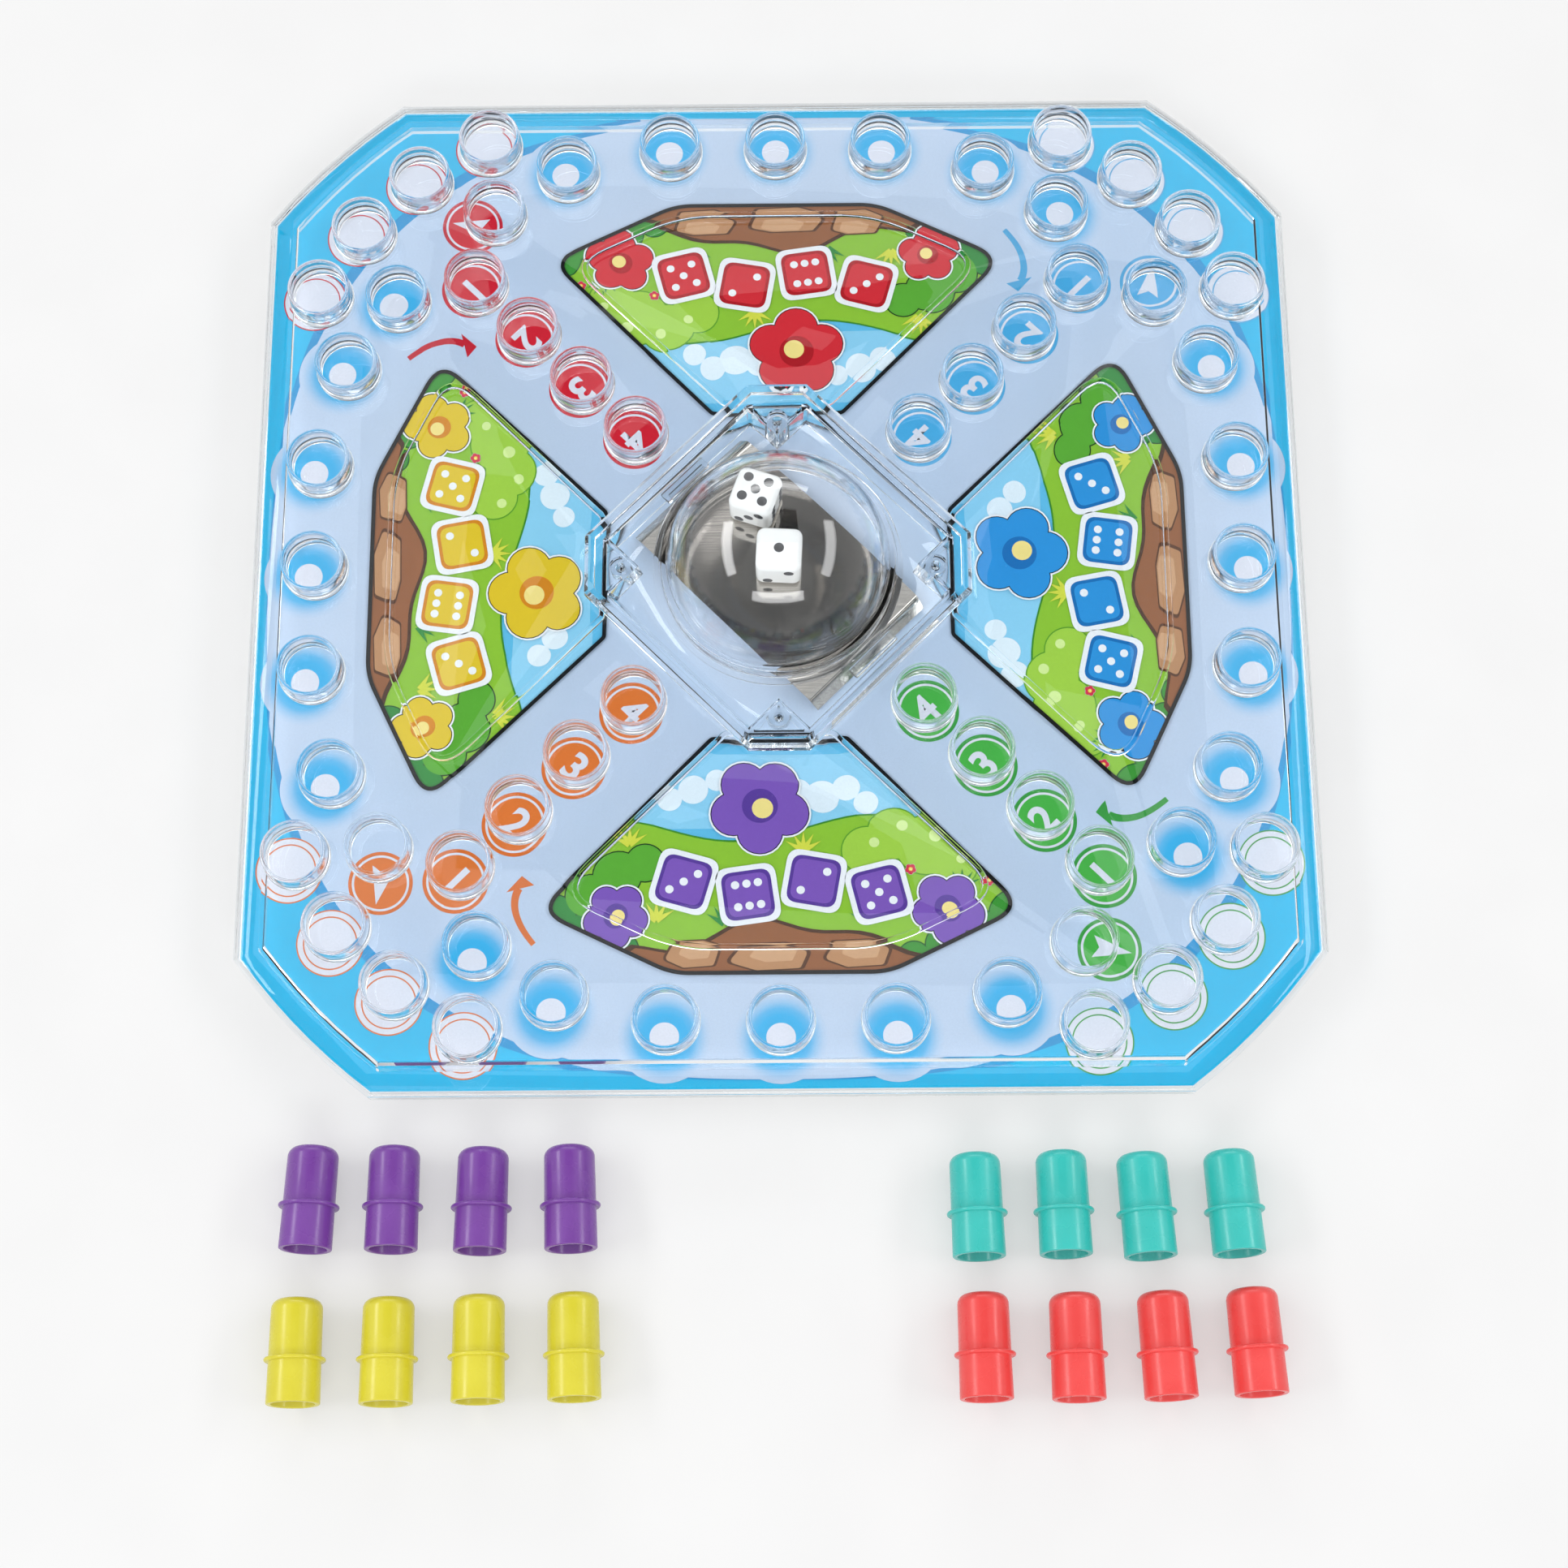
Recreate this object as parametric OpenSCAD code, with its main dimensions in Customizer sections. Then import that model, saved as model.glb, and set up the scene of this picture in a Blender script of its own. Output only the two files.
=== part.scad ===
// Pop up dice board game: a square board with cut-off corners, a clear moulded
// cover over a printed card, a sprung clear dome with two dice in the middle,
// sixty peg sockets, and sixteen hollow pegs laid out in front of the board.
// Millimetres. The origin is the middle of the board, on the table.
// +X is to the right, +Y is away from the pegs, +Z is up.

/* [Board] */
// Half of the board's width, over the edge of the clear cover
board_half = 135.4; // [134.5:0.1:145]
// Radius of the arcs that cut off the board's four corners
board_arc = 168.9; // [166:0.1:180]
// Height of the top of the printed card above the table
card_top = 11; // [10:0.1:14]
// Thickness of the printed card
card_thick = 1; // [0.6:0.1:1.6]
// Wall and floor thickness of the moulded base tray
tray_wall = 1.8; // [1.2:0.1:2.4]
// Height of the four moulded feet
foot_h = 1.2; // [0.8:0.1:1.6]

/* [Clear cover] */
// Height of the raised field of the cover above the printed card
field_h = 6; // [5.6:0.1:9]
// Thickness of the clear moulding
cover_thick = 1.4; // [1.2:0.1:1.6]
// Width of the low rim between the raised field and the board's edge
rim_w = 6.9; // [6:0.1:7.5]
// Width of the moulded ridges that frame the four picture panels
ridge_w = 1.5; // [0.8:0.1:2.5]
// Height of those ridges
ridge_h = 0.9; // [0.5:0.1:1.5]

/* [Peg sockets] */
// Radius of the bore that a peg drops into
socket_bore_r = 7.1; // [6.8:0.05:7.2]
// Height of a socket above the raised field
socket_h = 7.2; // [5:0.1:9]
// Outer radius of a socket's wall at its foot
socket_wall_r = 8.3; // [8:0.05:8.4]
// Distance of the middle track sockets from the board's middle
track_mid = 118.4; // [117:0.1:119]
// Pitch of the four home sockets along the diagonals
home_pitch = 20; // [18:0.1:20]

/* [Dice dome] */
// Outer radius of the ring round the dome's foot
dome_ring_r = 30; // [29.6:0.1:30.2]
// Outer radius of the spherical cap
cap_r = 28.84; // [28.6:0.02:29.2]
// Wall thickness of the dome
dome_wall = 1.3; // [1:0.1:1.6]
// Edge length of a die
die_w = 11.6; // [10:0.1:12]
// Edge radius of a die
die_round = 1.5; // [0.8:0.1:2]

/* [Spring strip] */
// Length of the strip, over its bent ends
strip_len = 69; // [66:0.5:70]
// Width of the strip
strip_w = 40; // [36:0.5:41]
// Thickness of the sheet steel
strip_thick = 0.4; // [0.3:0.05:0.5]
// Rise of the strip's middle above its ends
strip_rise = 0.6; // [0.4:0.05:0.6]

/* [Pegs] */
// Length of a peg
peg_len = 25; // [22:0.1:28]
// Radius of the closed upper half at its top
peg_tip_r = 6.2; // [5.8:0.05:6.3]
// Radius of the open lower half at its mouth
peg_mouth_r = 6.45; // [6.3:0.05:6.6]
// Radius of the bead round the peg
peg_bead_r = 7.4; // [7.2:0.05:8]
// Wall thickness of a peg
peg_wall = 1.25; // [0.9:0.05:1.6]

/* [Hidden] */
root = 0.6;          // what stands on a wall starts this deep inside it

// Levels above the table
card_z = card_top - card_thick;
floor_z = foot_h + tray_wall;
rim_z = card_top + cover_thick;
field_z = card_top + field_h;
field_under = field_z - cover_thick;
well_z = field_z + 1.6;
frame_z = field_z + 3.5;
lip_z = card_top - 2.8;

// Outlines: half width and corner arc radius of each piece
corner_cut = board_arc - board_half;
function arc_of(half) = half + corner_cut;
lip_w = 1;
card_half = board_half - 1.4;
tray_half = card_half;
tray_draft = 3.8;
field_half = board_half - rim_w;
field_draft = 0.9;

// Octagonal frame round the dome: distance of its flats and of its 45 degree sides
frame_flat = 49.4;
frame_side = 40.4;
frame_w = 2.6;
skirt_flat = 45.3;
skirt_side = 37.6;
skirt_w = 1.2;

// Screws: four, on the axes, under the corners of the octagonal frame
screw_at = 40.6;
screw_shank_r = 1.2;
pilot_r = 1.25;
head_r = 2.5;
head_h = 1.6;
boss_r = 2.7;
pilot_depth = 4.6;
tray_boss_r = 3.6;
counterbore_r = 2.8;
counterbore_z = floor_z + 0.4;

// Dome
well_hole_r = dome_ring_r + 0.6;
dome_foot_z = card_top + 4;
dome_flange_top = field_z - 0.2;
dome_flange_r = well_hole_r + 1.6;
dome_ring_top = field_z + 4.4;
cap_z = field_z + 1.56;
tab_len = 34.2;
tab_w = 12;
tab_bead_w = 15;
tab_bead_r = 1.65;

// Strip: a shallow arch whose ends are bent down to the card
strip_end_z = card_top + 3.6;
strip_flat = strip_len / 2 - 3.5;

// Peg lying on its bead and on the rounded edge of its closed end
bead_at = 10.5;
bead_round = 0.5;
tip_round = 2.5;
waist_r = (peg_tip_r + peg_mouth_r) / 2;
to_shoulder = [peg_len - tip_round - bead_at, peg_tip_r - tip_round - (peg_bead_r - bead_round)];
lie_tilt = 90 - acos((bead_round - tip_round) / norm(to_shoulder))
         - atan2(to_shoulder[1], to_shoulder[0]);
lie_h = bead_at * sin(lie_tilt) + (peg_bead_r - bead_round) * cos(lie_tilt) + bead_round;

// Colours
CLEAR = [0.86, 0.93, 0.97, 0.45];
WHITE = [0.95, 0.95, 0.94];
PURPLE = [0.49, 0.28, 0.64];
YELLOW = [0.89, 0.85, 0.28];
TEAL = [0.24, 0.78, 0.73];
RED = [0.96, 0.31, 0.31];

// Where the pegs lie: x, y of the middle, and the turn about the vertical
purple_places = [[-115, -159.2, -1.7], [-94.7, -159.4, 0.3], [-73.1, -159.9, -0.3], [-51.6, -159.5, 2.3]];
yellow_places = [[-116.9, -195.7, 0.9], [-94.8, -195.7, 0.8], [-73, -195.3, 1.2], [-50.2, -194.9, 2.1]];
teal_places = [[47.2, -162.1, 1], [68.2, -161.7, 0.8], [88.2, -162.3, 2.5], [109.5, -161.8, 2.8]];
red_places = [[48.2, -195.6, 0.5], [70.2, -195.8, 0.2], [91.7, -195.6, 2.1], [113.2, -194.9, 2.1]];

// Places of the sockets: each list is for one side or corner, turned four times
track_places = [[0, track_mid], [28, track_mid - 0.3], [-28, track_mid - 0.3],
                [55.3, 111.9], [-55.3, 111.9], [-74.5, 99.4], [74.5, 99.4]];
start_places = [[76.2, 119.9], [94.4, 109.1], [109.1, 94.4], [119.9, 76.2]];
home_first = 36.6;
home_step = home_pitch / sqrt(2);

// ---- outlines and plates -------------------------------------------------

// Plate with the board's outline: a square cut by a circle
module plate(half, z0, z1) {
    intersection() {
        translate([-half, -half, z0]) cube([2 * half, 2 * half, z1 - z0]);
        translate([0, 0, z0]) cylinder(r = arc_of(half), h = z1 - z0, $fn = 240);
    }
}

// The same plate with drafted sides
module drafted_plate(half0, half1, z0, z1) {
    intersection() {
        translate([0, 0, z0]) rotate(45)
            cylinder(r1 = half0 * sqrt(2), r2 = half1 * sqrt(2), h = z1 - z0, $fn = 4);
        translate([0, 0, z0])
            cylinder(r1 = arc_of(half0), r2 = arc_of(half1), h = z1 - z0, $fn = 240);
    }
}

// Octagon with flats on the axes at distance flat, and 45 degree sides at distance side
module octagon(flat, side, z0, z1) {
    k = side * sqrt(2) - flat;
    translate([0, 0, z0]) linear_extrude(z1 - z0)
        polygon([[flat, -k], [flat, k], [k, flat], [-k, flat],
                 [-flat, k], [-flat, -k], [-k, -flat], [k, -flat]]);
}

// Unit normal to the left of a direction, and a polygon moved inwards by d
function left_of(v) = [-v[1], v[0]] / norm(v);
function inset(pts, d) = [for (i = [0 : len(pts) - 1])
    let (n = len(pts), p = pts[(i + n - 1) % n], q = pts[i], r = pts[(i + 1) % n],
         a = left_of(q - p), b = left_of(r - q)) q + d * (a + b) / (1 + a * b)];

module four_times() {
    for (turn = [0 : 90 : 270]) rotate(turn) children();
}

// ---- base ------------------------------------------------------------------

module tray_ribs() {
    ring_r = 62;
    rib_w = 1.4;
    low = floor_z - root;
    difference() {
        translate([0, 0, low]) cylinder(r = ring_r, h = card_z - low, $fn = 120);
        translate([0, 0, low - 1]) cylinder(r = ring_r - rib_w, h = card_z - low + 2, $fn = 120);
    }
    // one rib to each corner
    intersection() {
        four_times() rotate(45) translate([ring_r - rib_w / 2, -rib_w / 2, low])
            cube([arc_of(tray_half) - ring_r, rib_w, card_z - low]);
        plate(tray_half - tray_draft - tray_wall / 2, low, card_z);
    }
}

module base_tray() {
    foot_at = 95;
    foot_r = 7;
    pad_r = 12;
    heel_z = foot_h + 1.4;
    draft_at_heel = tray_draft - 0.7;
    color(WHITE) difference() {
        union() {
            difference() {
                union() {
                    drafted_plate(tray_half - tray_draft - 1.6, tray_half - draft_at_heel, foot_h, heel_z);
                    drafted_plate(tray_half - draft_at_heel, tray_half, heel_z, card_z);
                }
                drafted_plate(tray_half - draft_at_heel - tray_wall, tray_half - tray_wall,
                              floor_z, card_z + 1);
            }
            tray_ribs();
            four_times() translate([screw_at, 0, floor_z - root])
                cylinder(r = tray_boss_r, h = card_z - floor_z + root, $fn = 48);
            four_times() translate([foot_at, foot_at, 0])
                cylinder(r1 = foot_r - 0.8, r2 = foot_r, h = foot_h + root, $fn = 48);
            // pad that takes the push on the dome
            cylinder(r1 = pad_r - 0.8, r2 = pad_r, h = foot_h + root, $fn = 96);
        }
        four_times() translate([screw_at, 0, 0]) {
            cylinder(r = screw_shank_r + 0.3, h = card_z + 1, $fn = 32);
            cylinder(r = counterbore_r, h = counterbore_z, $fn = 48);
        }
    }
}

module printed_card() {
    color([0.73, 0.83, 0.93]) difference() {
        plate(card_half, card_z, card_top);
        four_times() translate([screw_at, 0, card_z - 1])
            cylinder(r = 2, h = card_thick + 2, $fn = 32);
    }
}

// Self-tapping screw, head down, from the underside into the cover's bosses
module base_screw() {
    head_z = counterbore_z - head_h;
    shank_top = card_top + 3.6;
    point = 1;
    edge = 0.5;
    slot = [2.8, 0.7, 0.9];
    difference() {
        rotate_extrude($fn = 48) polygon([[0, head_z], [head_r - edge, head_z], [head_r, head_z + edge],
            [head_r, counterbore_z], [screw_shank_r, counterbore_z],
            [screw_shank_r, shank_top - point], [0.4, shank_top], [0, shank_top]]);
        for (turn = [0, 90]) rotate(turn) translate([-slot[0] / 2, -slot[1] / 2, head_z - 0.2]) cube(slot);
    }
}

module base_screws() {
    color("silver") four_times() translate([screw_at, 0, 0]) base_screw();
}

// ---- clear cover -----------------------------------------------------------

// Low rim that rests on the card, with a lip round the tray and a bead along its edge
module cover_rim() {
    bead_w = 1.2;
    bead_h = 0.5;
    difference() {
        plate(board_half, lip_z, rim_z + bead_h);
        plate(board_half - lip_w, lip_z - 1, card_top);
        plate(board_half - bead_w, rim_z, rim_z + 1);
    }
}

// Raised field with drafted sides, on the rim, open under its middle for the well frame
module top_cover() {
    color(CLEAR) difference() {
        union() {
            cover_rim();
            drafted_plate(field_half + field_draft, field_half, card_top + root, field_z);
        }
        drafted_plate(field_half + field_draft - cover_thick, field_half - cover_thick,
                      card_top - 1, field_under);
        octagon(skirt_flat, skirt_side, field_under - 1, field_z + 1);
    }
}

// The four ridges that frame the picture panels and end at the octagonal frame
module panel_ridges() {
    panel = [[14, 44.2], [56, 86], [26, 100.4], [-26, 100.4], [-56, 86], [-14, 44.2]];
    color(CLEAR) four_times() difference() {
        translate([0, 0, field_z]) linear_extrude(ridge_h) polygon(panel);
        translate([0, 0, field_z - 1]) linear_extrude(ridge_h + 2) polygon(inset(panel, ridge_w));
        octagon(frame_flat, frame_side, field_z - 1, frame_z);
    }
}

// Octagonal frame with bevelled edges, lying on the raised field
module frame_block() {
    bevel = 1;
    hull() {
        octagon(frame_flat, frame_side, field_z, frame_z - bevel);
        octagon(frame_flat - bevel, frame_side - bevel, frame_z - bevel, frame_z);
    }
}

// V shaped wall and screw boss, under a corner of the frame, on the +Y side
module corner_pocket() {
    outer_tip = 35.9;
    inner_tip = 37.6;
    reach = skirt_flat - skirt_w / 2;
    height = field_z + root - card_top;
    translate([0, 0, card_top]) difference() {
        union() {
            linear_extrude(height)
                polygon([[0, outer_tip], [reach - outer_tip, reach], [outer_tip - reach, reach]]);
            translate([0, screw_at, 0]) cylinder(r = boss_r, h = height, $fn = 48);
        }
        // the pocket behind the V, left solid where the boss stands
        translate([0, 0, -1]) linear_extrude(height - root + 1) difference() {
            polygon([[0, inner_tip], [reach - inner_tip, reach], [inner_tip - reach, reach]]);
            translate([0, screw_at]) circle(r = boss_r, $fn = 48);
        }
        translate([0, screw_at, -1]) cylinder(r = pilot_r, h = pilot_depth + 1, $fn = 32);
    }
}

// The frame with the well for the dome, its skirt down to the card and its corner pockets
module well_frame() {
    color(CLEAR) {
        difference() {
            union() {
                frame_block();
                octagon(skirt_flat, skirt_side, card_top, field_z + root);
            }
            octagon(skirt_flat - skirt_w, skirt_side - skirt_w, card_top - 1, field_z);
            octagon(frame_flat - frame_w, frame_side - frame_w + 0.1, well_z, frame_z + 1);
            translate([0, 0, card_top]) cylinder(r = well_hole_r, h = frame_z - card_top, $fn = 120);
        }
        four_times() corner_pocket();
    }
}

// Socket: a short tube with a bead round its foot and a rounded mouth
module socket() {
    foot_r = socket_wall_r + 0.2;
    mouth_r = socket_wall_r - 0.25;
    lip = (mouth_r - socket_bore_r) / 2;
    mouth = [for (a = [0 : 30 : 180]) [mouth_r - lip + lip * cos(a), socket_h - lip + lip * sin(a)]];
    translate([0, 0, field_z]) rotate_extrude($fn = 96)
        polygon(concat([[socket_bore_r, 0], [foot_r, 0], [foot_r, 0.9], [socket_wall_r, 1.4]], mouth));
}

module track_sockets() {
    color(CLEAR) four_times() for (p = track_places) translate(p) socket();
}

module start_sockets() {
    color(CLEAR) four_times() for (p = start_places) translate(p) socket();
}

module home_sockets() {
    color(CLEAR) four_times() for (i = [0 : 3]) {
        d = home_first + i * home_step;
        translate([d, d]) socket();
    }
}

// ---- dice dome ---------------------------------------------------------------

// Tongue with a capsule shaped bead at its end, on the +X side of the dome
module dome_tab() {
    inner = dome_ring_r - 1;
    low = dome_foot_z + 0.3;
    high = dome_flange_top - 0.3;
    translate([inner, -tab_w / 2, low]) cube([tab_len - inner, tab_w, high - low]);
    translate([tab_len, 0, dome_foot_z + 0.1]) linear_extrude(dome_flange_top - dome_foot_z - 0.2) {
        square([2 * tab_bead_r, tab_bead_w - 2 * tab_bead_r], center = true);
        for (side = [-1, 1]) translate([0, side * (tab_bead_w / 2 - tab_bead_r)])
            circle(r = tab_bead_r, $fn = 40);
    }
}

// Points along the cap, from the level low up to a small flat at the top
function cap_arc(r, low) = let (from = asin((low - cap_z) / r), to = 88, n = 20)
    [for (i = [0 : n]) let (a = from + (to - from) * i / n) [r * cos(a), cap_z + r * sin(a)]];
function reversed(pts) = [for (i = [len(pts) - 1 : -1 : 0]) pts[i]];

// Cap, stepped ring and flange, turned from one profile
module dome_shell() {
    cap_inner = cap_r - dome_wall;
    shoulder = 0.4;
    step = 0.3;          // the straight wall inside the ring is this much wider than the cap
    outer = cap_arc(cap_r, dome_ring_top);
    inner = cap_arc(cap_inner, cap_z + 1);
    rotate_extrude($fn = 160) polygon(concat(
        [[cap_inner + step, dome_foot_z], [dome_flange_r, dome_foot_z],
         [dome_flange_r, dome_flange_top], [dome_ring_r, dome_flange_top],
         [dome_ring_r, dome_ring_top - shoulder], [dome_ring_r - shoulder, dome_ring_top]],
        outer, [[0, outer[len(outer) - 1][1]], [0, inner[len(inner) - 1][1]]], reversed(inner),
        [[cap_inner + step, cap_z + 1]]));
}

module dome_unit() {
    color(CLEAR) {
        dome_shell();
        for (turn = [-45, 135]) rotate(turn) dome_tab();
    }
}

// Spring steel strip, along the diagonal from upper left to lower right
module spring_strip() {
    steps = 12;
    upper = [for (i = [-steps : steps]) let (u = i / steps)
        [u * strip_flat, strip_end_z + strip_rise * (1 - u * u)]];
    lower = [for (i = [steps : -1 : -steps]) let (u = i / steps)
        [u * (strip_flat - strip_thick / 3), strip_end_z - strip_thick + strip_rise * (1 - u * u)]];
    foot = strip_len / 2;
    color([0.55, 0.53, 0.5]) rotate([90, 0, -45]) translate([0, 0, -strip_w / 2]) linear_extrude(strip_w)
        polygon(concat([[-foot, card_top + 0.15]], upper, [[foot, card_top + 0.15]],
                       [[foot - strip_thick, card_top + 0.15]], lower,
                       [[strip_thick - foot, card_top + 0.15]]));
}

// ---- dice --------------------------------------------------------------------

// Pips of a face with n spots, as places on the face
function pips(n, s) = concat(
    n % 2 == 1 ? [[0, 0]] : [],
    n > 1 ? [[-s, -s], [s, s]] : [],
    n > 3 ? [[-s, s], [s, -s]] : [],
    n == 6 ? [[0, s], [0, -s]] : []);

// Die with its spots given for top, bottom, front, back, left and right
module die(spots) {
    pip_step = 2.7;
    pip_ball = 1.5;
    pip_lift = 0.95;
    core = die_w / 2 - die_round;
    turns = [[0, 0, 0], [180, 0, 0], [90, 0, 0], [-90, 0, 0], [0, -90, 0], [0, 90, 0]];
    difference() {
        hull() for (x = [-core, core], y = [-core, core], z = [-core, core])
            translate([x, y, z]) sphere(r = die_round, $fn = 24);
        for (face = [0 : 5]) rotate(turns[face]) for (p = pips(spots[face], pip_step))
            translate([p[0], p[1], die_w / 2 + pip_lift]) sphere(r = pip_ball, $fn = 32);
    }
}

module die_a() {
    color(WHITE) translate([-5.6, 17.1, dome_foot_z + 0.5 + die_w / 2]) rotate(-19) die([5, 2, 3, 4, 1, 6]);
}

module die_b() {
    color(WHITE) translate([0.3, 1.1, dome_foot_z + 0.6 + die_w / 2]) rotate(-3) die([1, 6, 2, 5, 4, 3]);
}

// ---- pegs --------------------------------------------------------------------

// Hollow peg, standing on its open mouth
module peg() {
    bore_r = peg_mouth_r - peg_wall;
    bore_tip_r = bore_r - 0.3;
    bore_top = peg_len - 1.6;
    lip = 0.3;
    tip = [for (a = [0 : 15 : 90])
        [peg_tip_r - tip_round + tip_round * cos(a), peg_len - tip_round + tip_round * sin(a)]];
    bead = [for (a = [-90 : 30 : 90])
        [peg_bead_r - bead_round + bead_round * cos(a), bead_at + bead_round * sin(a)]];
    rotate_extrude($fn = 96) polygon(concat(
        [[bore_r, 0.2], [bore_r + 0.2, 0], [peg_mouth_r - lip, 0], [peg_mouth_r, lip],
         [waist_r, bead_at - bead_round]],
        bead, [[waist_r, bead_at + bead_round]], tip,
        [[0, peg_len], [0, bore_top], [bore_tip_r - 1, bore_top], [bore_tip_r, bore_top - 1]]));
}

// The same peg lying on the table, closed end away, at x, y, turn
module lying_peg(place) {
    translate([place[0], place[1], lie_h - peg_len / 2 * sin(lie_tilt)]) rotate(place[2])
        rotate([-90 - lie_tilt, 0, 0]) translate([0, 0, -peg_len / 2]) peg();
}

module peg_purple(i) { color(PURPLE) lying_peg(purple_places[i - 1]); }
module peg_yellow(i) { color(YELLOW) lying_peg(yellow_places[i - 1]); }
module peg_teal(i) { color(TEAL) lying_peg(teal_places[i - 1]); }
module peg_red(i) { color(RED) lying_peg(red_places[i - 1]); }

base_tray();
printed_card();
top_cover();
well_frame();
panel_ridges();
track_sockets();
start_sockets();
home_sockets();
spring_strip();
dome_unit();
die_a();
die_b();
base_screws();
peg_purple(1);  // peg_purple_1
peg_purple(2);  // peg_purple_2
peg_purple(3);  // peg_purple_3
peg_purple(4);  // peg_purple_4
peg_yellow(1);  // peg_yellow_1
peg_yellow(2);  // peg_yellow_2
peg_yellow(3);  // peg_yellow_3
peg_yellow(4);  // peg_yellow_4
peg_teal(1);  // peg_teal_1
peg_teal(2);  // peg_teal_2
peg_teal(3);  // peg_teal_3
peg_teal(4);  // peg_teal_4
peg_red(1);  // peg_red_1
peg_red(2);  // peg_red_2
peg_red(3);  // peg_red_3
peg_red(4);  // peg_red_4
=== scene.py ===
# %% [markdown]
# # Pop up dice board game
# A square board with cut-off corners: a clear moulded cover over a printed card, sixty
# peg sockets, a sprung dome with two dice in the middle, and sixteen hollow pegs laid
# out in front. The CAD model is the frame: it gives every size and place, and this file
# adds the finishes, the printing on the card and the smooth forms of the clear parts.

# %% Load the CAD frame
import math

import bpy
from mathutils import Matrix, Vector


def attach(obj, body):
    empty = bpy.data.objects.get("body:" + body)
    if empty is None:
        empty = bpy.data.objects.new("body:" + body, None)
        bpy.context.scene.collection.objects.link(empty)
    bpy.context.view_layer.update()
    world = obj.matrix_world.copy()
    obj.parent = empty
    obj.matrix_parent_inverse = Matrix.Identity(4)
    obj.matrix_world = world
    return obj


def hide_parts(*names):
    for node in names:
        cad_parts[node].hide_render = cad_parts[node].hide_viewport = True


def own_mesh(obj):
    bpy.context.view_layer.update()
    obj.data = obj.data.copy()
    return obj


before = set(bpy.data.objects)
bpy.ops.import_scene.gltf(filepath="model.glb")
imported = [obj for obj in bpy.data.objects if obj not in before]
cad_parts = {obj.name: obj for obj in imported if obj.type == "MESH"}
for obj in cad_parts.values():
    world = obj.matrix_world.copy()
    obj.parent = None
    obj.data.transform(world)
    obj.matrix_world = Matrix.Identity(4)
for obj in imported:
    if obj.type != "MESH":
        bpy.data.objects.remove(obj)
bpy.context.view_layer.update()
MM = 0.001

# %% [markdown]
# ## Small tools for modelling
# Every piece starts from a primitive or a flat curve, is shaped in edit mode and ends with
# its place in its own mesh. Loading the frame leaves its nodes selected, so each tool
# deselects first. A turned form is a profile extruded point by point and then spun; a flat
# form is a filled curve turned to a mesh.

# %% Modelling tools


def fresh():
    """Leaves edit mode and deselects everything."""
    if bpy.context.object and bpy.context.object.mode != "OBJECT":
        bpy.ops.object.mode_set(mode="OBJECT")
    bpy.ops.object.select_all(action="DESELECT")


def pick(*pieces):
    """Selects these pieces, with the first one active."""
    fresh()
    for piece in pieces:
        piece.select_set(True)
    bpy.context.view_layer.objects.active = pieces[0]


def apply_modifier(piece, kind, **settings):
    """Adds a modifier with its settings and applies it."""
    pick(piece)
    modifier = piece.modifiers.new(kind.title(), kind)
    for name, value in settings.items():
        setattr(modifier, name, value)
    bpy.ops.object.modifier_apply(modifier=modifier.name)


def smooth(piece, angle=35):
    """Shades smooth, but keeps edges sharper than the angle."""
    pick(piece)
    bpy.ops.object.shade_smooth_by_angle(angle=math.radians(angle))


def weld(piece):
    """Merges the loose triangles of a copy of a CAD solid into clean flat faces."""
    pick(piece)
    bpy.ops.object.mode_set(mode="EDIT")
    bpy.ops.mesh.select_all(action="SELECT")
    bpy.ops.mesh.remove_doubles(threshold=0.002 * MM)
    bpy.ops.mesh.dissolve_limited(angle_limit=math.radians(0.6))
    bpy.ops.object.mode_set(mode="OBJECT")


def join(pieces):
    """Joins the pieces into the first one."""
    pick(*pieces)
    bpy.ops.object.join()
    return pieces[0]


def copy_at(piece, matrix):
    """A copy with its own mesh, moved by the matrix."""
    twin = piece.copy()
    twin.data = piece.data.copy()
    bpy.context.scene.collection.objects.link(twin)
    twin.data.transform(matrix)
    return twin


def shift(x, y, z=0.0):
    """A move in millimetres."""
    return Matrix.Translation((x * MM, y * MM, z * MM))


def turn(degrees):
    """A turn about the vertical."""
    return Matrix.Rotation(math.radians(degrees), 4, "Z")


def lathe(profile, steps):
    """Turns a closed profile of (radius, height) in millimetres about the vertical."""
    fresh()
    bpy.ops.mesh.primitive_plane_add(size=MM, location=(0, 0, 0))
    piece = bpy.context.object
    bpy.ops.object.mode_set(mode="EDIT")
    bpy.ops.mesh.merge(type="CENTER")
    start = Vector((profile[0][0], 0, profile[0][1])) * MM
    bpy.ops.transform.translate(value=start)
    for (r0, z0), (r1, z1) in zip(profile, profile[1:]):
        step = Vector((r1 - r0, 0, z1 - z0)) * MM
        bpy.ops.mesh.extrude_vertices_move(TRANSFORM_OT_translate={"value": step})
    bpy.ops.mesh.select_all(action="SELECT")
    bpy.ops.mesh.spin(steps=steps, angle=2 * math.pi, center=(0, 0, 0), axis=(0, 0, 1))
    bpy.ops.mesh.select_all(action="SELECT")
    bpy.ops.mesh.remove_doubles(threshold=0.001 * MM)
    bpy.ops.mesh.normals_make_consistent(inside=False)
    bpy.ops.object.mode_set(mode="OBJECT")
    return piece


def arc(radius, centre, first, last, count):
    """Points on an arc of a profile, from one angle to another, in degrees."""
    angles = [math.radians(first + (last - first) * i / count) for i in range(count + 1)]
    return [(centre[0] + radius * math.cos(a), centre[1] + radius * math.sin(a)) for a in angles]


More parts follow.
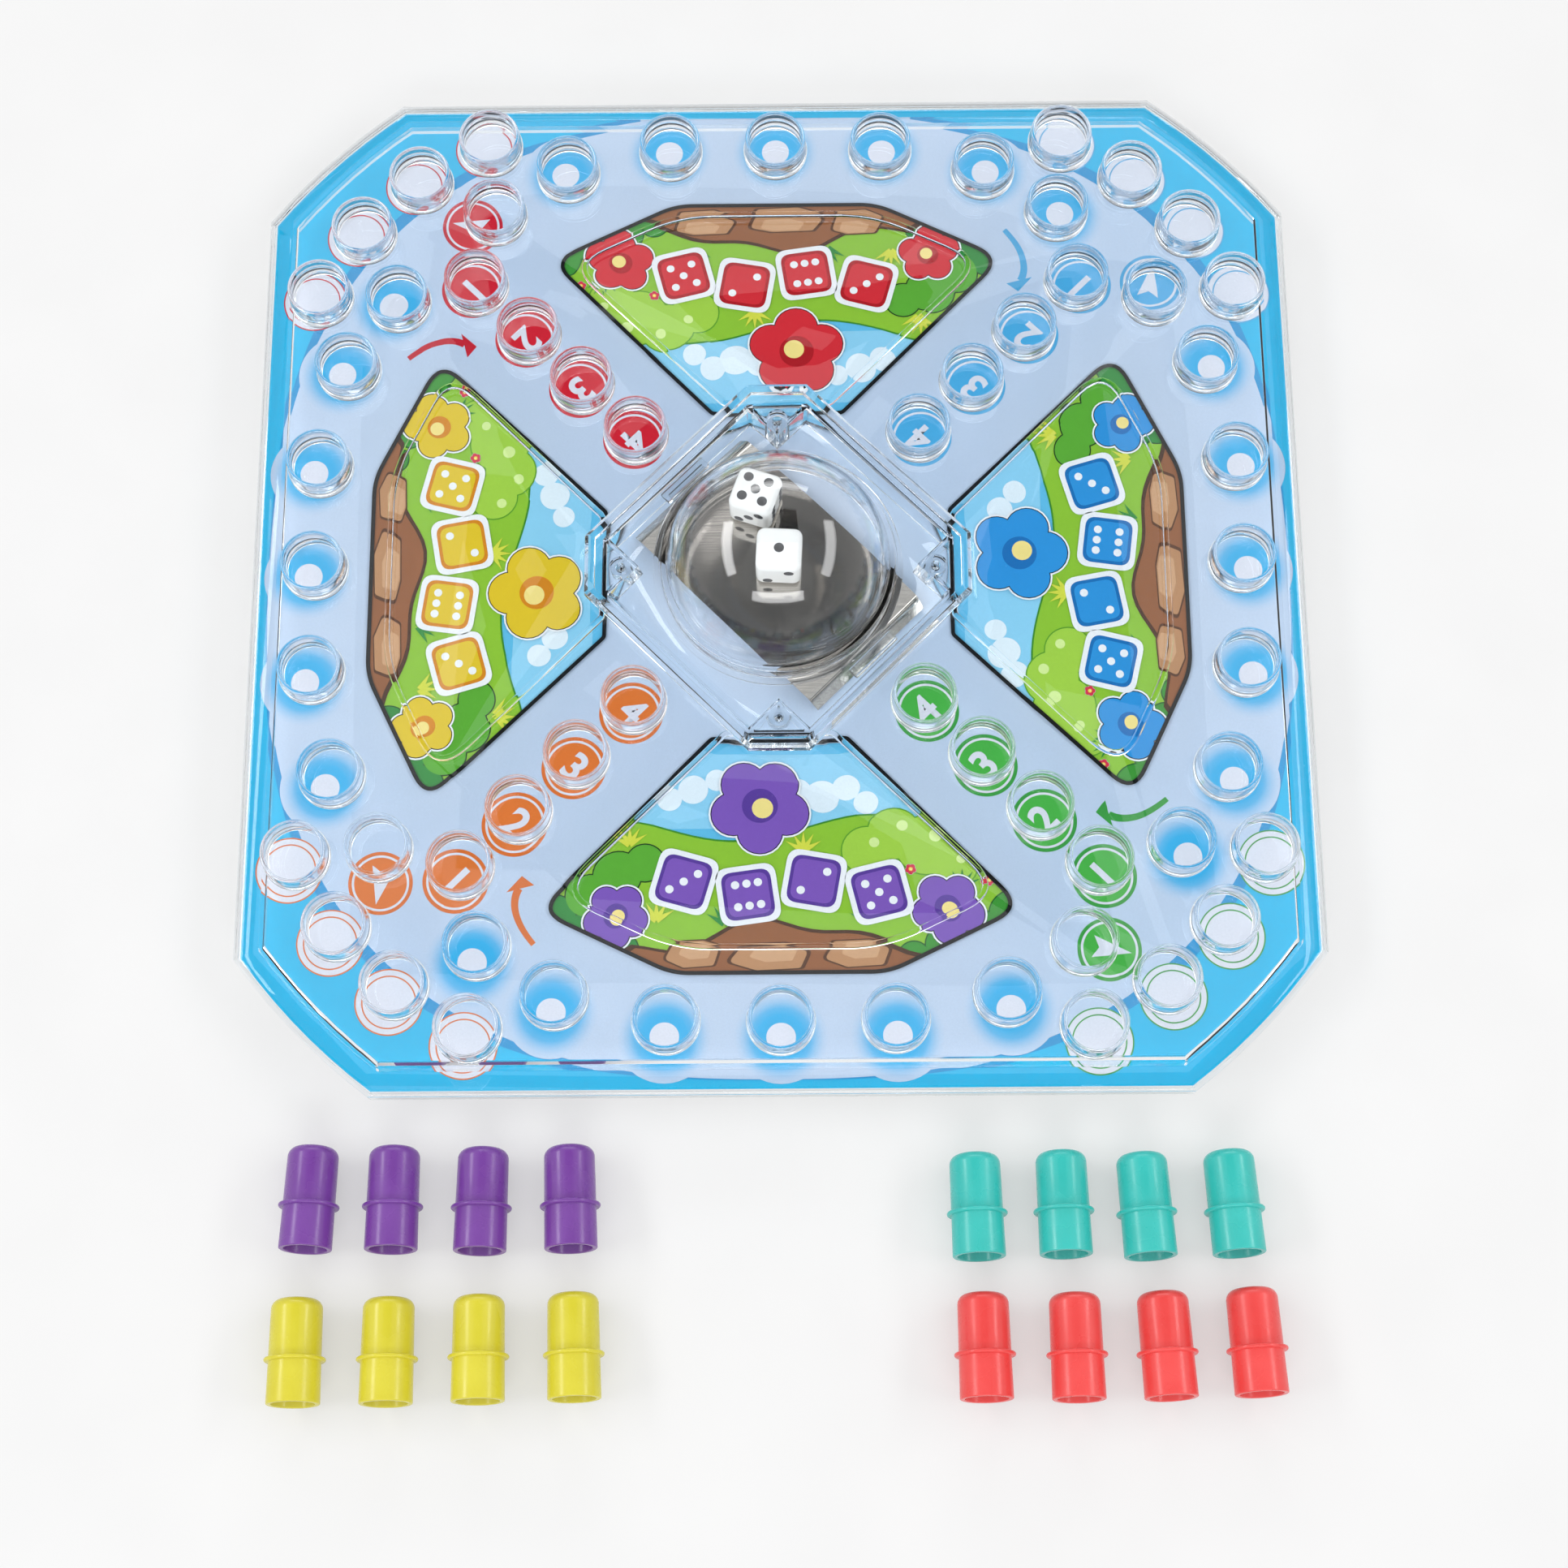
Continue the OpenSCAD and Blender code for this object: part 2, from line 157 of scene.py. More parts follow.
def rounded(points, radii, count=6):
    """A polygon's points with its corners rounded; one radius for all or one for each."""
    radii = [radii] * len(points) if isinstance(radii, (int, float)) else radii
    out = []
    for i, (here, radius) in enumerate(zip(points, radii)):
        p, q = Vector(points[i - 1]), Vector(here)
        r = Vector(points[(i + 1) % len(points)])
        a, b = (p - q).normalized(), (r - q).normalized()
        reach = radius / math.tan(math.acos(max(-1, min(1, a.dot(b)))) / 2)
        start, end = q + a * reach, q + b * reach
        for k in range(count + 1):
            t = k / count
            out.append(tuple((1 - t) ** 2 * start + 2 * t * (1 - t) * q + t * t * end))
    return out


def narrowed(points, width):
    """A smooth outline that runs counterclockwise, moved inwards by a width."""
    out = []
    for i, here in enumerate(points):
        along = (Vector(points[(i + 1) % len(points)]) - Vector(points[i - 1])).normalized()
        out.append((here[0] - along.y * width, here[1] + along.x * width))
    return out


def flat(outline, holes=()):
    """A flat filled shape from outlines in millimetres."""
    fresh()
    curve = bpy.data.curves.new("flat", "CURVE")
    curve.dimensions, curve.fill_mode = "2D", "BOTH"
    for points in (outline, *holes):
        line = curve.splines.new("POLY")
        line.points.add(len(points) - 1)
        for spot, (x, y) in zip(line.points, points):
            spot.co = (x * MM, y * MM, 0, 1)
        line.use_cyclic_u = True
    shape = bpy.data.objects.new("flat", curve)
    bpy.context.scene.collection.objects.link(shape)
    pick(shape)
    bpy.ops.object.convert(target="MESH")
    shape = bpy.context.object
    if shape.data.polygons[0].normal.z < 0:
        shape.data.flip_normals()
    return shape


# %% [markdown]
# ## Small tools for finishes
# Colours are written as the hex values that a colour picker shows and turned to linear
# light by one function. One helper adds a node, sets its values and links its inputs.

# %% Finish tools


def linear(code):
    """An sRGB hex colour as linear red, green, blue and a full alpha."""
    parts = [int(code[i:i + 2], 16) / 255 for i in (1, 3, 5)]
    return (*(c / 12.92 if c <= 0.04045 else ((c + 0.055) / 1.055) ** 2.4 for c in parts), 1.0)


def coat(name):
    """A new material with an empty node tree, and its tree."""
    material = bpy.data.materials.new(name)
    material.use_nodes = True
    material.node_tree.nodes.clear()
    return material, material.node_tree


def node(tree, kind, settings=None, **inputs):
    """Adds a node. Settings are its properties; inputs are values, or sockets to link."""
    made = tree.nodes.new(kind)
    for name, value in (settings or {}).items():
        setattr(made, name, value)
    for name, value in inputs.items():
        key = int(name[1:]) if name[0] == "i" and name[1:].isdigit() else name.replace("_", " ")
        socket = made.inputs[key]
        if isinstance(value, bpy.types.NodeSocket):
            tree.links.new(value, socket)
        else:
            socket.default_value = value
    return made


def finish_coat(tree, shader):
    """Links a shader to the material's output."""
    node(tree, "ShaderNodeOutputMaterial", Surface=shader)


def patch_noise(tree, size_mm, detail=2.0):
    """Noise whose patches are about this many millimetres across."""
    where = node(tree, "ShaderNodeTexCoord").outputs["Object"]
    return node(tree, "ShaderNodeTexNoise", Vector=where, Scale=1 / (size_mm * MM), Detail=detail)


def ramp(tree, factor, *stops):
    """A colour ramp over a factor; each stop is (place, colour)."""
    made = node(tree, "ShaderNodeValToRGB", Fac=factor)
    elements = made.color_ramp.elements
    for element, (place, colour) in zip(elements, stops):
        element.position, element.color = place, colour
    for place, colour in stops[2:]:
        elements.new(place).color = colour
    return made.outputs["Color"]


def grey(level):
    """A neutral ramp colour that stands for a plain number."""
    return (level, level, level, 1)


# %% [markdown]
# ## Clear polystyrene
# The cover, its sockets and the dome are injection moulded in crystal polystyrene: very
# clear, glossy, with an index near 1.59. It is set a little lower here, and lower still
# for the thin dome, because the renderer shows every inner reflection of a thin wall.
# Light must reach the card, and glass in a path tracer blocks lamps, so shadow rays see a
# plain transparent sheet instead.

# %% Clear plastics


def clear_plastic(name, index, tint, wave_mm):
    """Moulded clear plastic with a faint flow waviness."""
    material, tree = coat(name)
    wave = node(tree, "ShaderNodeBump", Strength=0.05, Distance=0.02 * MM,
                Height=patch_noise(tree, wave_mm).outputs["Fac"]).outputs["Normal"]
    solid = node(tree, "ShaderNodeBsdfPrincipled", Base_Color=linear(tint), Roughness=0.015,
                 IOR=index, Transmission_Weight=1.0, Normal=wave)
    sheet = node(tree, "ShaderNodeBsdfTransparent", Color=linear("#F4F8FA"))
    shadow = node(tree, "ShaderNodeLightPath").outputs["Is Shadow Ray"]
    finish_coat(tree, node(tree, "ShaderNodeMixShader", i0=shadow, i1=solid.outputs[0],
                           i2=sheet.outputs[0]).outputs[0])
    return material


cover_styrene = clear_plastic("Moulded clear polystyrene", 1.57, "#FAFDFF", 14)
dome_styrene = clear_plastic("Thin moulded clear polystyrene", 1.50, "#FCFDFE", 20)
print("clear plastics:", cover_styrene.name, "and", dome_styrene.name)

# %% [markdown]
# ## Coloured and white plastics
# The pegs, the dice and the tray are moulded in solid colours. A gloss mould leaves a
# smooth skin with very shallow sink waves, and the tray's tool has a fine spark texture.
# A little light enters the thin walls of the pegs, so their mouths glow in their colour.

# %% Opaque plastics


def moulded_plastic(name, colour, shade, rough, grain_mm, depth_mm, scatter=0.0):
    """Moulded plastic whose colour and gloss drift a little over its surface."""
    material, tree = coat(name)
    drift = patch_noise(tree, 9).outputs["Fac"]
    grain = patch_noise(tree, grain_mm, detail=3).outputs["Fac"]
    tone = ramp(tree, drift, (0.3, linear(colour)), (0.7, linear(shade)))
    gloss = ramp(tree, grain, (0.35, grey(rough * 0.85)), (0.65, grey(rough * 1.2)))
    skin = node(tree, "ShaderNodeBump", Strength=0.3, Distance=depth_mm * MM, Height=grain)
    body = node(tree, "ShaderNodeBsdfPrincipled", Base_Color=tone, Roughness=gloss, IOR=1.5,
                Subsurface_Weight=scatter, Subsurface_Radius=(1.0, 1.0, 1.0),
                Subsurface_Scale=0.6 * MM, Normal=skin.outputs["Normal"])
    finish_coat(tree, body.outputs[0])
    return material


tray_styrene = moulded_plastic("Spark textured white polystyrene", "#F1F2F1", "#EAECEC",
                               0.42, 0.6, 0.02)
dice_acrylic = moulded_plastic("Polished white dice plastic", "#F7F7F5", "#F0F0EE", 0.16, 5, 0.005)
PEG_GLOSS, PEG_WAVE_MM, PEG_DEPTH_MM, PEG_SCATTER = 0.26, 7, 0.01, 0.2
peg_coats = {}
for colour, name, tone, shade in (("purple", "purple", "#8048A8", "#7A42A1"),
                                  ("yellow", "yellow", "#E6DC40", "#E0D536"),
                                  ("teal", "teal", "#40CCC4", "#3AC5BC"),
                                  ("red", "coral red", "#FA5553", "#F44B49")):
    peg_coats[colour] = moulded_plastic(f"Moulded {name} polystyrene", tone, shade,
                                        PEG_GLOSS, PEG_WAVE_MM, PEG_DEPTH_MM, PEG_SCATTER)
print("opaque plastics:", 2 + len(peg_coats))

# %% [markdown]
# ## Steel, zinc and dice paint
# The strip under the dome is rolled spring steel: bright, with fine scratches along its
# length. The screws are zinc plated. The dice spots are pits filled with matt black paint.

# %% Metals and paint


def rolled_steel(name, bright, dull, turn_deg, grain):
    """Rolled metal with fine lines along one direction; grain is how many per millimetre."""
    material, tree = coat(name)
    where = node(tree, "ShaderNodeTexCoord").outputs["Object"]
    lined = node(tree, "ShaderNodeMapping", Vector=where,
                 Rotation=(0, 0, math.radians(turn_deg)), Scale=grain).outputs["Vector"]
    lines = node(tree, "ShaderNodeTexNoise", Vector=lined, Scale=1 / MM, Detail=3).outputs["Fac"]
    tone = ramp(tree, lines, (0.3, linear(dull)), (0.7, linear(bright)))
    rough = ramp(tree, lines, (0.3, grey(0.13)), (0.7, grey(0.07)))
    ridges = node(tree, "ShaderNodeBump", Strength=0.12, Distance=0.01 * MM, Height=lines)
    metal = node(tree, "ShaderNodeBsdfPrincipled", Base_Color=tone, Metallic=1.0, Roughness=rough,
                 Normal=ridges.outputs["Normal"])
    finish_coat(tree, metal.outputs[0])
    return material


spring_steel = rolled_steel("Rolled spring steel", "#CBC5BD", "#AFAAA4", 45, (0.06, 2.4, 1))
zinc_steel = rolled_steel("Zinc plated steel", "#C7CBD0", "#B2B6BC", 0, (0.8, 0.8, 0.8))
spot_paint = moulded_plastic("Matt black dice paint", "#26272B", "#2D2E33", 0.45, 0.5, 0.01)
print("metals and paint:", spring_steel.name, zinc_steel.name, spot_paint.name)

# %% [markdown]
# ## Offset printing on card
# The card is greyboard with a coated white face, printed in offset. Each printed shape
# carries its colour as an attribute named ink, so one material serves the whole print.
# A fine fibre noise keeps the ink from looking like flat paint.

# %% Print and board finishes
PAPER, CYAN, DEEP_BLUE, FIELD = "#DEDBE3", "#00B2DC", "#0090C8", "#C1CEE2"


def printed_ink():
    """Offset ink on coated card, with the colour read from the attribute."""
    material, tree = coat("Offset print on coated card")
    colour = node(tree, "ShaderNodeAttribute", {"attribute_name": "ink"}).outputs["Color"]
    fibre = patch_noise(tree, 0.5, detail=4).outputs["Fac"]
    speckle = ramp(tree, fibre, (0.25, grey(0.92)), (0.75, grey(1.0)))
    tone = node(tree, "ShaderNodeMix", {"data_type": "RGBA", "blend_type": "MULTIPLY"},
                i0=1.0, i6=colour, i7=speckle).outputs[2]
    gloss = ramp(tree, fibre, (0.3, grey(0.5)), (0.7, grey(0.38)))
    sheet = node(tree, "ShaderNodeBsdfPrincipled", Base_Color=tone, Roughness=gloss, IOR=1.5,
                 Specular_IOR_Level=0.2)
    finish_coat(tree, sheet.outputs[0])
    return material


def greyboard():
    """The card itself: a cyan printed face over grey recycled board."""
    material, tree = coat("Coated greyboard")
    up = node(tree, "ShaderNodeSeparateXYZ",
              Vector=node(tree, "ShaderNodeNewGeometry").outputs["Normal"]).outputs["Z"]
    face = node(tree, "ShaderNodeMath", {"operation": "GREATER_THAN"}, i0=up, i1=0.5).outputs[0]
    fibre = patch_noise(tree, 0.7, detail=5).outputs["Fac"]
    board = ramp(tree, fibre, (0.3, linear("#B9B4AC")), (0.7, linear("#CBC7C0")))
    ink = ramp(tree, fibre, (0.3, linear("#00AED9")), (0.7, linear(CYAN)))
    tone = node(tree, "ShaderNodeMix", {"data_type": "RGBA"}, i0=face, i6=board, i7=ink).outputs[2]
    sheet = node(tree, "ShaderNodeBsdfPrincipled", Base_Color=tone, Roughness=0.5, IOR=1.5,
                 Specular_IOR_Level=0.2)
    finish_coat(tree, sheet.outputs[0])
    return material


print_ink = printed_ink()
card_board = greyboard()
print("print finishes:", print_ink.name, "and", card_board.name)

# %% [markdown]
# ## Finishing a piece
# A new piece gets its name, its finish and the body that it moves with, and the CAD nodes
# that it stands for are hidden, all in one call.

# %% Seat a finished piece


def seat(piece, name, body, slot, finish, *nodes):
    """Names, coats and seats a finished piece."""
    piece.name = piece.data.name = name
    if finish:
        piece.data.materials.clear()
        piece.data.materials.append(finish)
    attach(piece, body)
    if nodes:
        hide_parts(*nodes)
    print(name, len(piece.data.polygons), "faces")
    return piece


# %% [markdown]
# ## Base tray, card and screws
# These keep the CAD solids, whose shapes are right, and only get their finishes.

# %% Finishes for CAD nodes
for cad_name, finish in (("base_tray", tray_styrene), ("printed_card", card_board),
                         ("base_screws", zinc_steel)):
    cad_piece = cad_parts[cad_name]
    cad_piece.data.materials.clear()
    cad_piece.data.materials.append(finish)
    print(cad_name, "is now", finish.name)

# %% [markdown]
# ## The clear cover
# On the real board the cover, the frame of the dome's well and the ridges round the
# pictures are one moulding, so they are merged into one body of clear plastic: two solids
# that only touch would show a false surface between them. Cover and frame are copies of
# the CAD solids; the ridges are drawn again here, with round corners and backs. Each
# moulded edge catches a bright line, because a mould never makes a perfectly sharp edge,
# so a small bevel rounds every edge. What rests on the card is lifted by a hair, so the
# print does not fight with the underside of the cover.

# %% Ridges with rounded corners and backs
CARD_TOP, FIELD_TOP, LIFT = 11.0, 17.0, 0.12
RIDGE = [(14, 44.2), (56, 86), (26, 100.4), (-26, 100.4), (-56, 86), (-14, 44.2)]
RIDGE_CORNERS = [3, 8, 42, 42, 8, 3]
ridge_w, ridge_h, ridge_root = 1.5, 0.9, 0.7
ridge_line = rounded(RIDGE, RIDGE_CORNERS, 8)
ridge = flat(ridge_line, [narrowed(ridge_line, ridge_w)])
pick(ridge)
bpy.ops.object.mode_set(mode="EDIT")
bpy.ops.mesh.select_all(action="SELECT")
rise_by = (0, 0, (ridge_h + ridge_root) * MM)
bpy.ops.mesh.extrude_region_move(TRANSFORM_OT_translate={"value": rise_by})
bpy.ops.mesh.select_all(action="SELECT")
bpy.ops.mesh.normals_make_consistent(inside=False)
bpy.ops.mesh.dissolve_limited(angle_limit=math.radians(0.6))
bpy.ops.object.mode_set(mode="OBJECT")
apply_modifier(ridge, "BEVEL", width=0.52 * MM, segments=4, limit_method="ANGLE",
               angle_limit=math.radians(60))
ridge.data.transform(shift(0, 0, FIELD_TOP - ridge_root))
ridges = join([ridge] + [copy_at(ridge, turn(90 * k)) for k in (1, 2, 3)])
print("ridges", len(ridges.data.polygons), "faces")

# %% Cover from two CAD solids and the ridges
cover_nodes = ("top_cover", "well_frame", "panel_ridges")
mouldings = []
for cad_name in cover_nodes[:2]:
    moulding = copy_at(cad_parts[cad_name], Matrix.Identity(4))
    weld(moulding)
    mouldings.append(moulding)
cover = mouldings[0]
for moulding in mouldings[1:] + [ridges]:
    apply_modifier(cover, "BOOLEAN", operation="UNION", object=moulding, solver="EXACT")
    bpy.data.objects.remove(moulding)
weld(cover)
for corner in cover.data.vertices:
    if abs(corner.co.z - CARD_TOP * MM) < 0.01 * MM:
        corner.co.z += LIFT * MM
apply_modifier(cover, "BEVEL", width=0.34 * MM, segments=3, limit_method="ANGLE",
               angle_limit=math.radians(28), harden_normals=False)
smooth(cover, 40)
seat(cover, "cover_moulding", "board", "clear_plastic", cover_styrene, *cover_nodes)

# %% [markdown]
# ## Sixty sockets
# A socket is a turned form, so its profile is drawn point by point with extrude and spun
# about the vertical. One is modelled, copied to each place and joined by group.

# %% Sockets
bore_r, wall_r, socket_top = 7.1, 8.3, FIELD_TOP + 7.2
mouth_r = wall_r - 0.25
lip = (mouth_r - bore_r) / 2
foot_z = FIELD_TOP + 0.02
socket_profile = ([(bore_r, foot_z), (wall_r + 0.2, foot_z)]
                  + arc(0.45, (wall_r - 0.25, FIELD_TOP + 0.45), 0, 75, 5)
                  + arc(0.35, (wall_r + 0.35, FIELD_TOP + 1.45), 250, 180, 4)
                  + arc(lip, (mouth_r - lip, socket_top - lip), 0, 180, 12)
                  + [(bore_r, foot_z)])
socket = lathe(socket_profile, 56)
smooth(socket, 50)

track_mid = 118.4
track_places = [(0, track_mid), (28, track_mid - 0.3), (-28, track_mid - 0.3),
                (55.3, 111.9), (-55.3, 111.9), (-74.5, 99.4), (74.5, 99.4)]
start_places = [(76.2, 119.9), (94.4, 109.1), (109.1, 94.4), (119.9, 76.2)]
home_places = [(36.6 + i * 20 / math.sqrt(2),) * 2 for i in range(4)]
for group, places in (("track", track_places), ("start", start_places), ("home", home_places)):
    copies = [copy_at(socket, turn(quarter * 90) @ shift(*place))
              for quarter in range(4) for place in places]
    seat(join(copies), group + "_socket_tubes", "board", "clear_plastic", cover_styrene,
         group + "_sockets")
bpy.data.objects.remove(socket)

# %% [markdown]
# ## The dome
# A thin spherical cap on a stepped ring and a flange, spun from one profile. Two tongues
# with a rounded bead reach out along the diagonal of the strip. They start as cubes,
# stretched and laid against the flange, and the beads get round edges from a bevel.

# %% Dome
cap_r, cap_z, cap_wall = 28.84, 18.56, 1.3
ring_r, ring_top, flange_r, dome_foot, flange_top = 30.0, 21.4, 32.2, 15.0, 16.8
inner_r = cap_r - cap_wall
edge_angle = math.degrees(math.asin((ring_top - cap_z) / cap_r))
dome_profile = ([(inner_r + 0.3, dome_foot)]
                + arc(0.3, (flange_r - 0.3, dome_foot + 0.3), -90, 0, 3)
                + arc(0.3, (flange_r - 0.3, flange_top - 0.3), 0, 90, 3)
                + [(ring_r + 0.25, flange_top)]
                + arc(0.25, (ring_r + 0.25, flange_top + 0.25), 260, 180, 3)
                + arc(0.4, (ring_r - 0.4, ring_top - 0.4), 0, 90, 4)
                + arc(cap_r, (0, cap_z), edge_angle, 90, 40)
                + arc(inner_r, (0, cap_z), 90, 4, 40)
                + [(inner_r + 0.3, cap_z + 1), (inner_r + 0.3, dome_foot)])
dome_profile = [(r if r > 1e-6 else 0.0, z) for r, z in dome_profile]
dome = lathe(dome_profile, 128)
smooth(dome, 40)

TONGUE, BEAD = (32.9, 2.6, 12, 1.1), (34.2, 3.3, 15, 1.6)


def block(angle, reach, long, wide, high):
    """A block this far out on the diagonal, beside the flange, in millimetres."""
    fresh()
    bpy.ops.mesh.primitive_cube_add(size=1)
    bar = bpy.context.object
    bar.data.transform(turn(angle) @ shift(reach, 0, (dome_foot + flange_top) / 2)
                       @ Matrix.Diagonal((long * MM, wide * MM, high * MM, 1)))
    return bar


tongues = []
for angle in (-45, 135):
    tongue, bead = block(angle, *TONGUE), block(angle, *BEAD)
    apply_modifier(bead, "BEVEL", width=0.55 * MM, segments=4, limit_method="NONE")
    tongues += [tongue, bead]
dome = join([dome] + tongues)
smooth(dome, 40)
seat(dome, "dome_shell", "dome", "dome_plastic", dome_styrene, "dome_unit")

# %% [markdown]
# ## The spring strip
# A flat bar of spring steel, slightly arched, with its ends bent down. A grid with many
# rows along its length is laid out, its rows are set to the arch, and the end rows follow
# a small bend and go down. On the real board the strip flattens under the dome when it is
# pressed; this piece keeps its arch.

# %% Strip
strip_w, strip_flat, strip_end, end_top, rise, sheet = 40.0, 31.0, 34.5, 14.6, 0.6, 0.4
bend_r, bend_deg = 1.1, 46
FLAT_SHARE, BEND_SHARE = 0.86, 0.07
bend_from = strip_flat - 0.4
leg_out, leg_down, leg_foot = strip_flat + 0.391, end_top - 0.336, CARD_TOP + 0.56
fresh()
bpy.ops.mesh.primitive_grid_add(x_subdivisions=72, y_subdivisions=1, size=1)
strip = bpy.context.object


def strip_line(share):
    """Place along the strip and height of its upper side, for a share from -1 to 1."""
    side, reach = (1 if share >= 0 else -1), abs(share)
    if reach <= FLAT_SHARE:
        along = reach / FLAT_SHARE * bend_from
        return side * along, end_top + rise * (1 - (along / strip_flat) ** 2)
    if reach <= FLAT_SHARE + BEND_SHARE:
        bend = (reach - FLAT_SHARE) / BEND_SHARE * math.radians(bend_deg)
        return side * (bend_from + bend_r * math.sin(bend)), end_top - bend_r * (1 - math.cos(bend))
    low = (reach - FLAT_SHARE - BEND_SHARE) / (1 - FLAT_SHARE - BEND_SHARE)
    return side * (leg_out + low * (strip_end - leg_out)), leg_down + low * (leg_foot - leg_down)


for corner in strip.data.vertices:
    along, height = strip_line(corner.co.x * 2)
    corner.co = Vector((along, corner.co.y * strip_w, height)) * MM
strip.data.transform(turn(-45))
apply_modifier(strip, "SOLIDIFY", thickness=sheet * MM, offset=-1)
smooth(strip, 30)
seat(strip, "strip_steel", "board", "spring_steel", spring_steel, "spring_strip")
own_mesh(strip)

# %% [markdown]
# ## Dice
# A cube with rounded edges. The pits are balls cut out of its faces; the cut passes the
# black paint of the balls on to the walls of the pits. Opposite faces add up to seven, as
# on every common die.

# %% Dice
PIPS = {1: [(0, 0)], 2: [(-1, -1), (1, 1)]}
PIPS[3] = PIPS[1] + PIPS[2]
PIPS[4] = PIPS[2] + [(-1, 1), (1, -1)]
PIPS[5] = PIPS[4] + PIPS[1]
PIPS[6] = PIPS[4] + [(0, 1), (0, -1)]
FACE_TURNS = [(0, 0), (180, 0), (90, 0), (-90, 0), (0, -90), (0, 90)]
die_w, die_round, pip_step, ball_r, ball_out = 11.6, 2.1, 2.7, 1.6, 0.93


def make_die(name, spots, matrix):
    """A die with its spots for top, bottom, front, back, left and right."""
    fresh()
    bpy.ops.mesh.primitive_cube_add(size=die_w * MM)
    die = bpy.context.object
    die.data.materials.append(dice_acrylic)
    apply_modifier(die, "BEVEL", width=die_round * MM, segments=7, limit_method="NONE")
    balls = []
    for count, (about_x, about_y) in zip(spots, FACE_TURNS):
        facing = (Matrix.Rotation(math.radians(about_y), 4, "Y")
                  @ Matrix.Rotation(math.radians(about_x), 4, "X"))
        for x, y in PIPS[count]:
            fresh()
            bpy.ops.mesh.primitive_uv_sphere_add(segments=24, ring_count=14, radius=ball_r * MM)
            ball = bpy.context.object
            ball.data.materials.append(spot_paint)
            ball.data.transform(facing @ shift(x * pip_step, y * pip_step, die_w / 2 + ball_out))
            balls.append(ball)
    pits = join(balls)
    apply_modifier(die, "BOOLEAN", operation="DIFFERENCE", object=pits, solver="EXACT",
                   material_mode="TRANSFER")
    bpy.data.objects.remove(pits)
    smooth(die, 35)
    die.data.transform(matrix)
    return seat(die, name + "_cube", name, "dice_plastic", None, name)


make_die("die_a", [5, 2, 3, 4, 1, 6], shift(-5.6, 17.1, 15.5 + die_w / 2) @ turn(-19))
make_die("die_b", [1, 6, 2, 5, 4, 3], shift(0.3, 1.1, 15.6 + die_w / 2) @ turn(-3))

# %% [markdown]
# ## Pegs
# Hollow pegs with a rounded closed end, a bead round the middle and an open mouth. One
# is spun from its profile, and sixteen copies are laid down as the CAD lays them.

# %% Pegs
peg_len, peg_tip, peg_mouth, peg_bead, bead_at = 25.0, 6.2, 6.45, 7.4, 10.5
peg_profile = ([(5.2, 0.25), (5.3, 0.06), (5.45, 0)]
               + arc(0.3, (peg_mouth - 0.3, 0.3), -90, 0, 4)
               + [(6.325, bead_at - 0.62)]
               + arc(0.12, (6.445, bead_at - 0.62), 180, 90, 2)
               + arc(0.5, (peg_bead - 0.5, bead_at), -90, 90, 10)
               + arc(0.12, (6.445, bead_at + 0.62), 270, 180, 2)
               + arc(2.5, (peg_tip - 2.5, peg_len - 2.5), 0, 90, 12)
               + [(0, peg_len), (0, 23.4), (3.9, 23.4), (4.6, 23.0), (4.9, 22.4), (5.2, 0.25)])
peg = lathe(peg_profile, 72)
smooth(peg, 35)

to_shoulder = (peg_len - 2.5 - bead_at, (peg_tip - 2.5) - (peg_bead - 0.5))
lie_tilt = (90 - math.degrees(math.acos((0.5 - 2.5) / math.hypot(*to_shoulder)))
            - math.degrees(math.atan2(to_shoulder[1], to_shoulder[0])))
lie_rad = math.radians(lie_tilt)
lie_h = bead_at * math.sin(lie_rad) + (peg_bead - 0.5) * math.cos(lie_rad) + 0.5
peg_places = {
    "purple": [(-115, -159.2, -1.7), (-94.7, -159.4, 0.3), (-73.1, -159.9, -0.3),
               (-51.6, -159.5, 2.3)],
    "yellow": [(-116.9, -195.7, 0.9), (-94.8, -195.7, 0.8), (-73, -195.3, 1.2),
               (-50.2, -194.9, 2.1)],
    "teal": [(47.2, -162.1, 1), (68.2, -161.7, 0.8), (88.2, -162.3, 2.5), (109.5, -161.8, 2.8)],
    "red": [(48.2, -195.6, 0.5), (70.2, -195.8, 0.2), (91.7, -195.6, 2.1), (113.2, -194.9, 2.1)],
}
for colour, places in peg_places.items():
    for i, (x, y, angle) in enumerate(places, 1):
        lying = (shift(x, y, lie_h - peg_len / 2 * math.sin(lie_rad)) @ turn(angle)
                 @ Matrix.Rotation(math.radians(-90 - lie_tilt), 4, "X")
                 @ shift(0, 0, -peg_len / 2))
        cad_name = f"peg_{colour}_{i}"
        seat(copy_at(peg, lying), cad_name + "_cup", cad_name, "peg_" + colour,
             peg_coats[colour], cad_name)
bpy.data.objects.remove(peg)

# %% [markdown]
# ## Printing: how a shape is inked
# A printed shape is a flat filled curve turned to a mesh, laid a few hundredths of a
# millimetre above the one below it. Shapes that overlap never share a level, because two
# faces in one plane shade each other black. The colour of a shape goes into the attribute
# ink. A glow is a disc of rings whose colour fades outwards.

# %% Printing tools
LAYER = 0.02
GLOW = ((5.6, 1.0), (7.4, 0.85), (9.0, 0.42), (10.4, 0.12), (11.6, 0.0))
GLOW_BLUE = "#00A8DC"


def ink(outline, colour, layer, holes=()):
    """A flat printed shape from outlines in millimetres on the card."""
    return tinted(flat(outline, holes), colour, layer)


def tinted(shape, colour, layer):
    """Writes one colour to the shape and lays it on its layer, facing up."""
    if shape.data.polygons[0].normal.z < 0:
        shape.data.flip_normals()
    shape.data.transform(Matrix.Translation((0, 0, (CARD_TOP + LAYER * layer) * MM)))
    tint = shape.data.color_attributes.new("ink", "FLOAT_COLOR", "POINT")
    for spot in tint.data:
        spot.color = linear(colour)
    return shape


